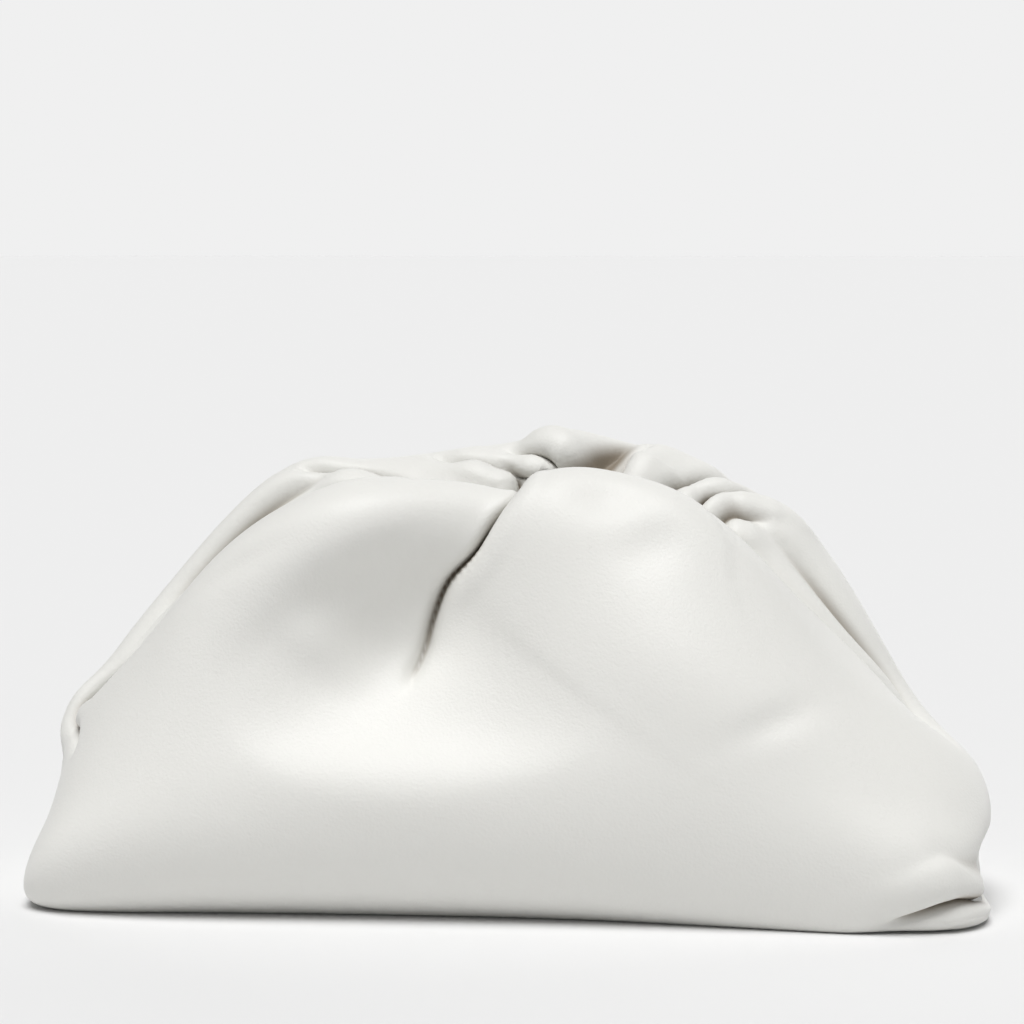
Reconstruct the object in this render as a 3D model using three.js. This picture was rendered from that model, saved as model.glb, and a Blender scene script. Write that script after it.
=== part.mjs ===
import * as THREE from "three";

// A soft gathered clutch: one hollow skin of leather, closed at the top by an arched clasp frame.
// Millimetres, +X to the right, +Y to the back, +Z up, origin at the middle of the base.

// Driving sizes
const bagWidth = 374;
const bagDepth = 154;
const bagHeight = 174;
const leatherWall = 2.2;
const footRise = 3;
const frameSpan = 320;
const frameRise = 92;
const frameFootHeight = 60;
const mouthGap = 9;
const mouthTuck = 7;
const claspBand = 7;
const claspClearance = 0.3;
const foldDepth = 10;
const foldWidth = 6;
const dentDepth = 10;

// Sections round the bag, from the left end over the front to the right end and back behind it.
// mouth: share of the frame's arc. x: shares of half the width. y: shares of half the depth.
// z: share of the height. bulge: how far the side swells outwards, a share of half the width.
const sectionColumns = [
  "mouth", "footX", "footY", "bellyY", "waistY", "shoulderY", "rimX", "rimY", "rimZ", "bulge",
];
const sectionRows = [
  [0, -0.99, 0, 0, 0, 0, -0.93, 0, 0.38, -0.01],
  [0.06, -0.99, -0.5, -0.58, -0.45, -0.29, -0.87, -0.19, 0.44, -0.01],
  [0.16, -0.89, -0.78, -0.87, -0.67, -0.49, -0.73, -0.29, 0.58, 0],
  [0.27, -0.63, -0.83, -0.99, -0.74, -0.61, -0.56, -0.36, 0.76, 0],
  [0.385, -0.33, -0.84, -1.02, -0.63, -0.69, -0.29, -0.43, 0.88, 0],
  [0.5, 0, -0.86, -1.03, -0.63, -0.61, -0.01, -0.44, 0.88, 0],
  [0.615, 0.3, -0.89, -1.04, -0.82, -0.65, 0.28, -0.42, 0.9, 0],
  [0.73, 0.61, -0.94, -1.04, -0.87, -0.65, 0.5, -0.37, 0.76, 0],
  [0.84, 0.87, -0.94, -1.01, -0.79, -0.57, 0.65, -0.32, 0.56, 0.03],
  [0.94, 0.99, -0.57, -0.71, -0.56, -0.36, 0.79, -0.23, 0.43, 0.08],
  [1, 0.98, 0, 0, 0, 0, 0.86, 0, 0.37, 0.1],
  [0.94, 0.97, 0.57, 0.6, 0.45, 0.28, 0.83, 0.2, 0.44, 0.04],
  [0.84, 0.85, 0.86, 0.91, 0.75, 0.53, 0.74, 0.31, 0.62, 0],
  [0.73, 0.6, 0.91, 0.98, 0.86, 0.65, 0.6, 0.42, 0.82, 0],
  [0.615, 0.29, 0.91, 0.98, 0.88, 0.68, 0.39, 0.46, 0.95, 0],
  [0.5, 0, 0.91, 0.98, 0.88, 0.68, 0.07, 0.47, 0.99, 0],
  [0.385, -0.31, 0.91, 0.98, 0.88, 0.68, -0.25, 0.45, 0.94, 0],
  [0.27, -0.61, 0.91, 0.98, 0.86, 0.65, -0.51, 0.42, 0.92, 0],
  [0.16, -0.87, 0.86, 0.91, 0.75, 0.52, -0.74, 0.31, 0.69, 0],
  [0.06, -0.99, 0.55, 0.57, 0.45, 0.28, -0.89, 0.19, 0.48, -0.01],
];

// Profile of every section, from the middle of the base to the edge of the mouth. Each point mixes
// the section's own lengths: four shares give x, six give y and four give z.
const profileColumns = [
  "name", "xFoot", "xRim", "xMouth", "xBulge",
  "yFoot", "yBelly", "yWaist", "yShoulder", "yRim", "yMouth",
  "zRim", "zMouth", "zFootRise", "zTuck",
];
const profileRows = [
  ["middle", 0, 0, 0, 0, 0, 0, 0, 0, 0, 0, 0, 0, 0, 0],
  ["base", 0.55, 0, 0, 0, 0.55, 0, 0, 0, 0, 0, 0, 0, 0, 0],
  ["base_edge", 0.93, 0, 0, 0, 0.93, 0, 0, 0, 0, 0, 0, 0, 0, 0],
  ["foot", 1, 0, 0, 0, 1, 0, 0, 0, 0, 0, 0, 0, 0, 0],
  ["foot_top", 1.015, 0, 0, 0, 0.5, 0.5, 0, 0, 0, 0, 0.1, 0, 1, 0],
  ["belly", 0.91, 0.09, 0, 0, 0, 1, 0, 0, 0, 0, 0.27, 0, 0.67, 0],
  ["shelf", 0.55, 0.45, 0, 0.7, 0, 0.45, 0.55, 0, 0, 0, 0.46, 0, 0, 0],
  ["waist", 0.3, 0.7, 0, 1, 0, 0, 1, 0, 0, 0, 0.66, 0, 0, 0],
  ["shoulder", 0.06, 0.94, 0, 0.9, 0, 0, 0, 1, 0, 0, 0.9, 0, 0, 0],
  ["rim", 0, 1, 0, 0.2, 0, 0, 0, 0.35, 0.75, 0, 1.045, 0, 0, 0],
  ["inside_rim", 0, 0.55, 0.45, 0, 0, 0, 0, 0, 0.52, 0.48, 0.8, 0.28, 0, 0],
  ["mouth_top", 0, 0, 1, 0, 0, 0, 0, 0, 0, 1.2, 0, 1, 0, 0.43],
  ["mouth_edge", 0, 0, 0.985, 0, 0, 0, 0, 0, 0, 1, 0, 1, 0, -1],
];

// Folds. Each runs from the mouth outwards through points given as [share round, share along the
// profile]. side: which edge overlaps, seen along the run. depth, lip and slope: shares of the fold
// depth. width and lean: shares of the fold width. open and close: how deep the two ends are.
const foldColumns = ["name", "side", "depth", "width", "lean", "lip", "slope", "open", "close", "run"];
const foldRows = [
  ["front_crease", 1, 1.15, 1.1, 1.3, 0.3, 0.55, 0.5, 0.25,
    [[0.262, 0.97], [0.259, 0.9], [0.258, 0.82], [0.2565, 0.775], [0.25, 0.722],
      [0.24, 0.667], [0.231, 0.624], [0.226, 0.591], [0.222, 0.566]]],
  ["left_long_pleat", 1, 0.8, 0.75, 0.9, 0.25, 0.35, 0.8, 0.15,
    [[0.798, 0.97], [0.802, 0.9], [0.806, 0.872], [0.817, 0.852], [0.831, 0.832], [0.846, 0.8]]],
  ["left_notch", -1, 0.45, 0.7, 0.5, 0.15, 0.1, 0.5, 0.5,
    [[0.775, 0.9], [0.782, 0.868], [0.786, 0.84], [0.789, 0.8]]],
  ["centre_pleat_low", 1, 0.85, 0.75, 0.9, 0.25, 0.35, 0.8, 0.1,
    [[0.742, 0.97], [0.745, 0.892], [0.756, 0.88], [0.77, 0.862], [0.78, 0.845]]],
  ["centre_pleat_high", 1, 0.85, 0.75, 0.9, 0.25, 0.35, 0.8, 0.1,
    [[0.733, 0.97], [0.738, 0.88], [0.746, 0.857], [0.76, 0.832], [0.775, 0.8]]],
  ["peak_hollow", -1, 0.75, 1.6, 0.3, 0.1, 0, 0.8, 0.2,
    [[0.724, 0.97], [0.7245, 0.877], [0.728, 0.85], [0.731, 0.805], [0.733, 0.76]]],
  ["peak_edge", -1, 0.55, 0.8, 0.5, 0.15, 0.2, 0.8, 0.1,
    [[0.712, 0.97], [0.715, 0.875], [0.717, 0.85], [0.72, 0.815], [0.722, 0.77]]],
  ["right_gap", -1, 1, 0.9, 0.9, 0.3, 0.4, 0.9, 0.1,
    [[0.694, 0.97], [0.687, 0.877], [0.681, 0.85], [0.678, 0.8], [0.678, 0.75]]],
  ["right_long_pleat", -1, 0.85, 0.75, 0.9, 0.25, 0.35, 0.9, 0.1,
    [[0.678, 0.97], [0.672, 0.88], [0.664, 0.84], [0.652, 0.8], [0.642, 0.762], [0.634, 0.72]]],
  ["right_pocket", -1, 0.8, 1, 0.6, 0.2, 0.1, 0.9, 0.3,
    [[0.666, 0.97], [0.661, 0.882], [0.655, 0.862], [0.647, 0.835]]],
  ["left_end_fold", 1, 0.5, 0.9, 0.4, 0.15, 0.1, 0.7, 0.4,
    [[0.972, 0.84], [0.972, 0.78], [0.974, 0.72], [0.985, 0.66]]],
  ["corner_tuck", 1, 0.8, 0.85, 1.1, 0.35, 0.2, 0.3, 0.3,
    [[0.385, 0.285], [0.392, 0.306], [0.402, 0.33], [0.418, 0.345], [0.45, 0.335],
      [0.49, 0.306], [0.53, 0.3]]],
];

// Dents, and swells where the depth is negative. round and along: place on the surface.
// reachRound: share of the width. reachUp: share of the height. turn: degrees. depth: share of
// the dent depth.
const dentColumns = ["name", "round", "along", "reachRound", "reachUp", "turn", "depth"];
const dentRows = [
  ["crease_hollow", 0.214, 0.575, 0.163, 0.124, 0, 0.75],
  ["crease_hollow_right", 0.264, 0.6, 0.047, 0.169, 0, 0.3],
  ["left_lobe_swell", 0.2, 0.705, 0.111, 0.112, 10, -0.25],
  ["shelf_swell", 0.22, 0.455, 0.197, 0.079, 0, -0.22],
  ["top_dimple", 0.286, 0.732, 0.029, 0.051, 0, 0.16],
  ["top_dimple_two", 0.301, 0.677, 0.029, 0.051, 0, 0.13],
  ["right_dimple", 0.385, 0.639, 0.029, 0.051, 20, 0.14],
  ["left_groove", 0.156, 0.697, 0.068, 0.028, 32, 0.14],
  ["right_corner_dent", 0.47, 0.42, 0.042, 0.051, 0, 0.6],
];

// Mesh grid: columns crowd together at the gathers, the crease and the tucked corner, and rows lie
// closer together where the leather turns
const columnCount = 120;
const crowdedColumns = [
  { at: 0.735, halfWidth: 0.125, extra: 2.4 },
  { at: 0.243, halfWidth: 0.035, extra: 1.8 },
  { at: 0.455, halfWidth: 0.06, extra: 0.9 },
];
const rowPlaces = [
  0.16, 0.21, 0.25, 0.285, 0.315, 0.345, 0.39, 0.45, 0.51, 0.57, 0.63, 0.68, 0.72, 0.75,
  0.775, 0.8, 0.822, 0.844, 0.866, 0.888, 0.91, 0.935, 0.965, 1,
];
const pathSteps = 36;
const sharpeningRounds = 14;

const up = new THREE.Vector3(0, 0, 1);

function named(columns, rows) {
  return rows.map((row) => Object.fromEntries(columns.map((column, i) => [column, row[i]])));
}

// Arc of the clasp frame
const arcRadius = ((frameSpan / 2) ** 2 + frameRise ** 2) / (2 * frameRise);
const arcCentreHeight = frameFootHeight + frameRise - arcRadius;
const arcHalfAngle = Math.asin(frameSpan / 2 / arcRadius);

function arcPoint(share) {
  const angle = (2 * share - 1) * arcHalfAngle;
  return { x: arcRadius * Math.sin(angle), z: arcCentreHeight + arcRadius * Math.cos(angle) };
}

// Control points of one section, from the middle of the base to the mouth
function sectionPoints(section, profile) {
  const mouth = arcPoint(section.mouth);
  const mouthY = (Math.sign(section.footY) * mouthGap) / 2;
  return profile.map((p) => {
    const halfWidths = p.xFoot * section.footX + p.xRim * section.rimX + p.xBulge * section.bulge;
    const halfDepths = p.yFoot * section.footY + p.yBelly * section.bellyY
      + p.yWaist * section.waistY + p.yShoulder * section.shoulderY + p.yRim * section.rimY;
    return new THREE.Vector3(
      (halfWidths * bagWidth) / 2 + p.xMouth * mouth.x,
      (halfDepths * bagDepth) / 2 + p.yMouth * mouthY,
      p.zRim * section.rimZ * bagHeight + p.zMouth * mouth.z
        + p.zFootRise * footRise + p.zTuck * mouthTuck,
    );
  });
}

// Moves the control points so that the closed curve round the bag passes through the sections
function passingThrough(sections) {
  const count = sections.length;
  let control = sections.map((row) => row.map((point) => point.clone()));
  for (let round = 0; round < sharpeningRounds; round += 1) {
    control = control.map((row, i) => row.map((point, j) => {
      const before = control[(i + count - 1) % count][j];
      const after = control[(i + 1) % count][j];
      const mean = point.clone().multiplyScalar(4).add(before).add(after).divideScalar(6);
      return point.clone().add(sections[i][j]).sub(mean);
    }));
  }
  return control;
}

// Adds a mirrored point at each end of a section, so that its curve reaches both ends
function withMirroredEnds(row) {
  const last = row.length - 1;
  const first = row[0].clone().multiplyScalar(2).sub(row[1]);
  const beyond = row[last].clone().multiplyScalar(2).sub(row[last - 1]);
  return [first, ...row, beyond];
}

const profile = named(profileColumns, profileRows);
const sections = named(sectionColumns, sectionRows).map((section) => sectionPoints(section, profile));
const controlNet = passingThrough(sections).map(withMirroredEnds);

function splineWeights(t) {
  return [
    (1 - t) ** 3 / 6,
    (3 * t ** 3 - 6 * t ** 2 + 4) / 6,
    (-3 * t ** 3 + 3 * t ** 2 + 3 * t + 1) / 6,
    t ** 3 / 6,
  ];
}

// Smooth pouch without folds: round and along run from 0 to 1
function smoothPoint(round, along) {
  const count = controlNet.length;
  const spans = profileRows.length - 1;
  const x = (round - Math.floor(round)) * count;
  const y = THREE.MathUtils.clamp(along, 0, 1) * spans;
  const column = Math.floor(x);
  const row = Math.min(Math.floor(y), spans - 1);
  const columnWeights = splineWeights(x - column);
  const rowWeights = splineWeights(y - row);
  const point = new THREE.Vector3();
  columnWeights.forEach((columnWeight, i) => {
    const line = controlNet[(column + i - 1 + count) % count];
    rowWeights.forEach((rowWeight, j) => {
      point.addScaledVector(line[row + j], columnWeight * rowWeight);
    });
  });
  return point;
}

function smoothNormal(round, along) {
  const step = 0.001;
  const b = THREE.MathUtils.clamp(along, 4 * step, 1 - 4 * step);
  const across = smoothPoint(round + step, b).sub(smoothPoint(round - step, b));
  const upward = smoothPoint(round, b + step).sub(smoothPoint(round, b - step));
  return across.cross(upward).normalize();
}

// Distance round the bag between two shares, by the shorter way
function roundDistance(a, b) {
  const gap = Math.abs(a - b) % 1;
  return Math.min(gap, 1 - gap);
}

// Place, facing and size of one dent
function prepareDent(row) {
  const centre = smoothPoint(row.round, row.along);
  const normal = smoothNormal(row.round, row.along);
  const level = new THREE.Vector3().crossVectors(up, normal).normalize();
  const steep = new THREE.Vector3().crossVectors(normal, level);
  const turn = THREE.MathUtils.degToRad(row.turn);
  const longAxis = level.clone().multiplyScalar(Math.cos(turn)).addScaledVector(steep, Math.sin(turn));
  const shortAxis = steep.clone().multiplyScalar(Math.cos(turn)).addScaledVector(level, -Math.sin(turn));
  return { ...row, centre, normal, longAxis, shortAxis };
}

function dentMove(dent, place) {
  const reachLimit = 0.2;
  const facing = THREE.MathUtils.smoothstep(place.normal.dot(dent.normal), 0, 0.6);
  if (roundDistance(place.round, dent.round) > reachLimit) return new THREE.Vector3();
  const offset = place.point.clone().sub(dent.centre);
  const u = offset.dot(dent.longAxis) / (dent.reachRound * bagWidth);
  const v = offset.dot(dent.shortAxis) / (dent.reachUp * bagHeight);
  const depth = dent.depth * dentDepth * facing * Math.exp(-u * u - v * v);
  return place.normal.clone().multiplyScalar(-depth);
}

// Points and directions along one fold, laid on the smooth pouch
function prepareFold(row) {
  const curve = new THREE.CatmullRomCurve3(
    row.run.map(([round, along]) => new THREE.Vector3(round, along, 0)),
    false,
    "catmullrom",
    0.5,
  );
  const places = curve.getPoints(pathSteps);
  const points = places.map((place) => smoothPoint(place.x, place.y));
  const tangents = points.map((point, i) => {
    const next = points[Math.min(i + 1, pathSteps)];
    const before = points[Math.max(i - 1, 0)];
    return next.clone().sub(before).normalize();
  });
  const lengths = [0];
  for (let i = 1; i <= pathSteps; i += 1) {
    lengths.push(lengths[i - 1] + points[i].distanceTo(points[i - 1]));
  }
  const rounds = places.map((place) => place.x);
  const alongs = places.map((place) => place.y);
  return {
    ...row,
    points,
    tangents,
    shares: lengths.map((length) => length / lengths[pathSteps]),
    middle: (Math.min(...rounds) + Math.max(...rounds)) / 2,
    halfReach: (Math.max(...rounds) - Math.min(...rounds)) / 2,
    lowest: Math.min(...alongs),
  };
}

// Nearest place on a fold's run, with the direction there
function nearestOnFold(fold, point) {
  let best = { distance: Infinity };
  for (let i = 0; i < pathSteps; i += 1) {
    const segment = fold.points[i + 1].clone().sub(fold.points[i]);
    const offset = point.clone().sub(fold.points[i]);
    const share = THREE.MathUtils.clamp(offset.dot(segment) / segment.lengthSq(), 0, 1);
    const away = offset.addScaledVector(segment, -share);
    const distance = away.length();
    if (distance < best.distance) {
      const tangent = fold.tangents[i].clone().lerp(fold.tangents[i + 1], share);
      const t = THREE.MathUtils.lerp(fold.shares[i], fold.shares[i + 1], share);
      best = { distance, away, tangent, t };
    }
  }
  return best;
}

// How one fold moves a place: a valley with an overlapping lip on one side
function foldMove(fold, place, leaning) {
  const roundMargin = 0.1;
  const alongMargin = 0.14;
  const tooFar = roundDistance(place.round, fold.middle) > fold.halfReach + roundMargin;
  if (tooFar || place.along < fold.lowest - alongMargin) return new THREE.Vector3();
  const near = nearestOnFold(fold, place.point);
  const past = near.t <= 0 || near.t >= 1 ? Math.abs(near.away.dot(near.tangent)) : 0;
  const sideways = place.normal.clone().cross(near.tangent).normalize().multiplyScalar(fold.side);
  const width = fold.width * foldWidth;
  const s = near.away.dot(sideways) / width;
  const depth = fold.depth * foldDepth;
  const swell = Math.sin(Math.PI * near.t);
  const end = near.t < 0.5 ? fold.open : fold.close;
  const share = (end + (1 - end) * swell) * Math.exp(-((past / (2.5 * width)) ** 2));
  const mouthFade = THREE.MathUtils.clamp((0.94 - place.along) / 0.08, 0, 1);
  const valley = depth * Math.exp(-(Math.abs(s) ** 1.5));
  const lip = fold.lip * foldDepth
    * (Math.exp(-(((s - 2.2) / 1.2) ** 2)) + 0.35 * Math.exp(-(((s + 2.4) / 1.3) ** 2)));
  const slope = fold.slope * foldDepth * Math.tanh(s) * Math.exp(-((s / 6) ** 2));
  const lean = fold.lean * foldWidth * leaning * mouthFade * Math.exp(-((s - 1.1) ** 2));
  const valleyFade = THREE.MathUtils.clamp((1 - place.along) / 0.05, 0.25, 1);
  const height = (lip + slope) * mouthFade - valley * valleyFade;
  return place.normal.clone().multiplyScalar(height * share).addScaledVector(sideways, -lean * share);
}

const dents = named(dentColumns, dentRows).map(prepareDent);
const folds = named(foldColumns, foldRows).map(prepareFold);

// Outer and inner face of the leather at one place
function leatherFaces(round, along) {
  const leaning = 0.3;
  const point = smoothPoint(round, along);
  const normal = smoothNormal(round, along);
  const place = { round, along, point, normal };
  const outer = point.clone();
  const inner = point.clone().addScaledVector(normal, -leatherWall);
  dents.forEach((dent) => {
    const move = dentMove(dent, place);
    outer.add(move);
    inner.add(move);
  });
  folds.forEach((fold) => {
    outer.add(foldMove(fold, place, leaning));
    inner.add(foldMove(fold, place, 0));
  });
  outer.z = Math.max(outer.z, 0);
  inner.z = Math.max(inner.z, leatherWall);
  return { outer, inner };
}

// Places round the bag, closer together in the crowded stretches
function columnPlaces() {
  const samples = 4000;
  const density = (x) => crowdedColumns.reduce(
    (sum, { at, halfWidth, extra }) => sum + extra * Math.exp(-((roundDistance(x, at) / halfWidth) ** 4)),
    1,
  );
  const totals = [0];
  for (let i = 1; i <= samples; i += 1) {
    totals.push(totals[i - 1] + density((i - 0.5) / samples));
  }
  const places = [];
  let sample = 0;
  for (let column = 0; column < columnCount; column += 1) {
    const wanted = (column / columnCount) * totals[samples];
    while (totals[sample + 1] < wanted) sample += 1;
    const part = (wanted - totals[sample]) / (totals[sample + 1] - totals[sample]);
    places.push((sample + part) / samples);
  }
  return places;
}

// Strips across a flat ring, from its left end to its right end, with the front half of the ring
// joined to the back half
function panelTriangles(indexOf, facingDown) {
  const triangles = [];
  for (let column = 0; column < columnCount / 2; column += 1) {
    const front = indexOf(column);
    const frontNext = indexOf(column + 1);
    const back = indexOf(columnCount - column);
    const backNext = indexOf(columnCount - column - 1);
    const strip = [];
    if (column > 0) strip.push([front, back, frontNext]);
    if (column < columnCount / 2 - 1) strip.push([frontNext, back, backNext]);
    if (column === 0) strip[0] = [front, backNext, frontNext];
    strip.forEach(([a, b, c]) => triangles.push(...(facingDown ? [a, b, c] : [a, c, b])));
  }
  return triangles;
}

// One closed skin: up the outer face, over the mouth's edge and down the inner face
function leatherGeometry() {
  const columns = columnPlaces();
  const faces = rowPlaces.map((along) => columns.map((round) => leatherFaces(round, along)));
  const rings = [
    ...faces.map((row) => row.map((face) => face.outer)),
    ...faces.map((row) => row.map((face) => face.inner)).reverse(),
  ];
  const lastRing = rings.length - 1;
  const indexOf = (ring, column) => ring * columnCount + (column % columnCount);
  const triangles = [];
  for (let ring = 0; ring < lastRing; ring += 1) {
    for (let column = 0; column < columnCount; column += 1) {
      const low = indexOf(ring, column);
      const lowNext = indexOf(ring, column + 1);
      const high = indexOf(ring + 1, column);
      const highNext = indexOf(ring + 1, column + 1);
      triangles.push(low, lowNext, highNext, low, highNext, high);
    }
  }
  triangles.push(...panelTriangles((column) => indexOf(0, column), true));
  triangles.push(...panelTriangles((column) => indexOf(lastRing, column), false));
  const geometry = new THREE.BufferGeometry().setFromPoints(rings.flat());
  geometry.setIndex(triangles);
  geometry.computeVertexNormals();
  return geometry;
}

// Arched band that lies between the two lips of the mouth
function claspGeometry() {
  const endShare = 0.09;
  const topInset = 1;
  const arcSteps = 26;
  const thickness = mouthGap - 2 * claspClearance;
  const startAngle = Math.PI / 2 + (1 - 2 * endShare) * arcHalfAngle;
  const endAngle = Math.PI / 2 - (1 - 2 * endShare) * arcHalfAngle;
  const topRadius = arcRadius - topInset;
  const shape = new THREE.Shape();
  shape.absarc(0, arcCentreHeight, topRadius, startAngle, endAngle, true);
  shape.absarc(0, arcCentreHeight, topRadius - claspBand, endAngle, startAngle, false);
  shape.closePath();
  const geometry = new THREE.ExtrudeGeometry(shape, {
    depth: thickness,
    bevelEnabled: false,
    curveSegments: arcSteps,
  });
  geometry.translate(0, 0, -thickness / 2);
  geometry.rotateX(Math.PI / 2);
  return geometry;
}

const leatherMaterial = new THREE.MeshStandardMaterial({ color: 0xe4e2dc, roughness: 0.5, metalness: 0 });
const claspMaterial = new THREE.MeshStandardMaterial({ color: 0xdad7cf, roughness: 0.55, metalness: 0 });

const leatherBody = new THREE.Mesh(leatherGeometry(), leatherMaterial);
leatherBody.name = "leather_body";

const claspFrame = new THREE.Mesh(claspGeometry(), claspMaterial);
claspFrame.name = "clasp_frame";

const pouch = new THREE.Group();
pouch.add(leatherBody, claspFrame);

// Stands the pouch with the middle of its outline over the origin
const outline = new THREE.Box3().setFromObject(pouch);
const middle = outline.getCenter(new THREE.Vector3());
pouch.position.set(-middle.x, -middle.y, -outline.min.z);

export default pouch;
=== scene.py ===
import math

import bmesh
import bpy
import numpy as np
from mathutils import Matrix, Vector


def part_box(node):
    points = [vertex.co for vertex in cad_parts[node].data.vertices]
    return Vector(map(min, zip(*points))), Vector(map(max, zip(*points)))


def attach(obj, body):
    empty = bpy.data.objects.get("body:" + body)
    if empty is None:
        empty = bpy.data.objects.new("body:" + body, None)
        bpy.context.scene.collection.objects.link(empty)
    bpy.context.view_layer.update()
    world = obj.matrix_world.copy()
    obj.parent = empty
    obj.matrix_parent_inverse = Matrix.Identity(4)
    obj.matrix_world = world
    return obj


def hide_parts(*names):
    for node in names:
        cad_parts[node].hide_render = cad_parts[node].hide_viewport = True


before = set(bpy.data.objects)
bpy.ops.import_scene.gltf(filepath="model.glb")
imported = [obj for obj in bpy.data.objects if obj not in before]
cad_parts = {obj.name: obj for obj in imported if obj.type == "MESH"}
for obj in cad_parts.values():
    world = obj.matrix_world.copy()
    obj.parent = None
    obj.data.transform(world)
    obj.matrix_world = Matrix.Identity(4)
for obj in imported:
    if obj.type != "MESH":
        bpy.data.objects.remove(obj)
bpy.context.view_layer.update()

# A soft gathered clutch of white leather. Metres, +X to the right, +Y to the back, +Z up.

# Sizes of the pouch, as in the solids, apart from the folds, which are narrower here
BAG_WIDTH = 0.374
BAG_DEPTH = 0.154
BAG_HEIGHT = 0.174
LEATHER_WALL = 0.0022
FOOT_RISE = 0.003
FRAME_SPAN = 0.320
FRAME_RISE = 0.092
FRAME_FOOT_HEIGHT = 0.060
MOUTH_GAP = 0.009
MOUTH_TUCK = 0.007
CLASP_BAND = 0.007
CLASP_CLEARANCE = 0.0003
FOLD_DEPTH = 0.010
FOLD_WIDTH = 0.004
DENT_DEPTH = 0.010

# The clasp lies in the pouch's own middle plane, so its box says where the pouch stands
clasp_low, clasp_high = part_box("clasp_frame")
POUCH_PLACE = np.array([(clasp_low[0] + clasp_high[0]) / 2, (clasp_low[1] + clasp_high[1]) / 2, 0.0])

# Sections round the bag, from the left end over the front to the right end and back behind it.
# mouth: share of the frame's arc. x: shares of half the width. y: shares of half the depth.
# z: share of the height. bulge: how far the side swells outwards, a share of half the width.
SECTION_COLUMNS = ("mouth", "foot_x", "foot_y", "belly_y", "waist_y", "shoulder_y",
                   "rim_x", "rim_y", "rim_z", "bulge")
SECTION_ROWS = (
    (0.0, -0.99, 0.0, 0.0, 0.0, 0.0, -0.93, 0.0, 0.38, -0.01),
    (0.06, -0.99, -0.5, -0.58, -0.45, -0.29, -0.87, -0.19, 0.44, -0.01),
    (0.16, -0.89, -0.7, -0.87, -0.67, -0.52, -0.73, -0.29, 0.6, 0.0),
    (0.27, -0.63, -0.69, -0.99, -0.76, -0.69, -0.56, -0.38, 0.79, 0.0),
    (0.385, -0.33, -0.68, -1.02, -0.62, -0.8, -0.29, -0.44, 0.91, 0.0),
    (0.5, 0.0, -0.7, -1.03, -0.66, -0.65, -0.01, -0.44, 0.9, 0.0),
    (0.615, 0.3, -0.78, -1.04, -0.93, -0.63, 0.28, -0.42, 0.9, 0.0),
    (0.73, 0.61, -0.92, -1.04, -0.92, -0.61, 0.5, -0.37, 0.76, 0.0),
    (0.84, 0.87, -0.94, -1.01, -0.79, -0.57, 0.65, -0.32, 0.56, 0.03),
    (0.94, 0.99, -0.57, -0.71, -0.56, -0.36, 0.79, -0.23, 0.43, 0.08),
    (1.0, 0.98, 0.0, 0.0, 0.0, 0.0, 0.86, 0.0, 0.37, 0.1),
    (0.94, 0.97, 0.57, 0.6, 0.45, 0.28, 0.83, 0.2, 0.44, 0.04),
    (0.84, 0.85, 0.86, 0.91, 0.75, 0.53, 0.74, 0.31, 0.62, 0.0),
    (0.73, 0.6, 0.91, 0.98, 0.86, 0.65, 0.6, 0.42, 0.82, 0.0),
    (0.615, 0.29, 0.91, 0.98, 0.88, 0.68, 0.39, 0.46, 0.95, 0.0),
    (0.5, 0.0, 0.91, 0.98, 0.88, 0.68, 0.18, 0.47, 0.99, 0.0),
    (0.385, -0.31, 0.91, 0.98, 0.88, 0.68, -0.25, 0.45, 0.94, 0.0),
    (0.27, -0.61, 0.91, 0.98, 0.86, 0.65, -0.51, 0.42, 0.92, 0.0),
    (0.16, -0.87, 0.86, 0.91, 0.75, 0.52, -0.74, 0.31, 0.69, 0.0),
    (0.06, -0.99, 0.55, 0.57, 0.45, 0.28, -0.89, 0.19, 0.48, -0.01),
)

# Profile of every section, from the middle of the base to the edge of the mouth. Each point mixes
# the section's own lengths: four shares give x, six give y and four give z.
PROFILE_COLUMNS = ("name", "x_foot", "x_rim", "x_mouth", "x_bulge",
                   "y_foot", "y_belly", "y_waist", "y_shoulder", "y_rim", "y_mouth",
                   "z_rim", "z_mouth", "z_foot_rise", "z_tuck")
PROFILE_ROWS = (
    ("middle", 0, 0, 0, 0, 0, 0, 0, 0, 0, 0, 0, 0, 0, 0),
    ("base", 0.55, 0, 0, 0, 0.55, 0, 0, 0, 0, 0, 0, 0, 0, 0),
    ("base_edge", 0.93, 0, 0, 0, 0.93, 0, 0, 0, 0, 0, 0, 0, 0, 0),
    ("foot", 1, 0, 0, 0, 1, 0, 0, 0, 0, 0, 0, 0, 0, 0),
    ("foot_top", 1.015, 0, 0, 0, 0.3, 0.7, 0, 0, 0, 0, 0.065, 0, 1, 0),
    ("belly", 0.91, 0.09, 0, 0, 0, 1, 0, 0, 0, 0, 0.27, 0, 0.67, 0),
    ("shelf", 0.55, 0.45, 0, 0.7, 0, 0.45, 0.55, 0, 0, 0, 0.46, 0, 0, 0),
    ("waist", 0.3, 0.7, 0, 1, 0, 0, 1, 0, 0, 0, 0.66, 0, 0, 0),
    ("shoulder", 0.06, 0.94, 0, 0.9, 0, 0, 0, 1, 0, 0, 0.9, 0, 0, 0),
    ("rim", 0, 1, 0, 0.2, 0, 0, 0, 0.35, 0.75, 0, 1.045, 0, 0, 0),
    ("inside_rim", 0, 0.55, 0.45, 0, 0, 0, 0, 0, 0.52, 0.48, 0.8, 0.28, 0, 0),
    ("mouth_top", 0, 0, 1, 0, 0, 0, 0, 0, 0, 1.2, 0, 1, 0, 0.43),
    ("mouth_edge", 0, 0, 0.985, 0, 0, 0, 0, 0, 0, 1, 0, 1, 0, -1),
)

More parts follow.
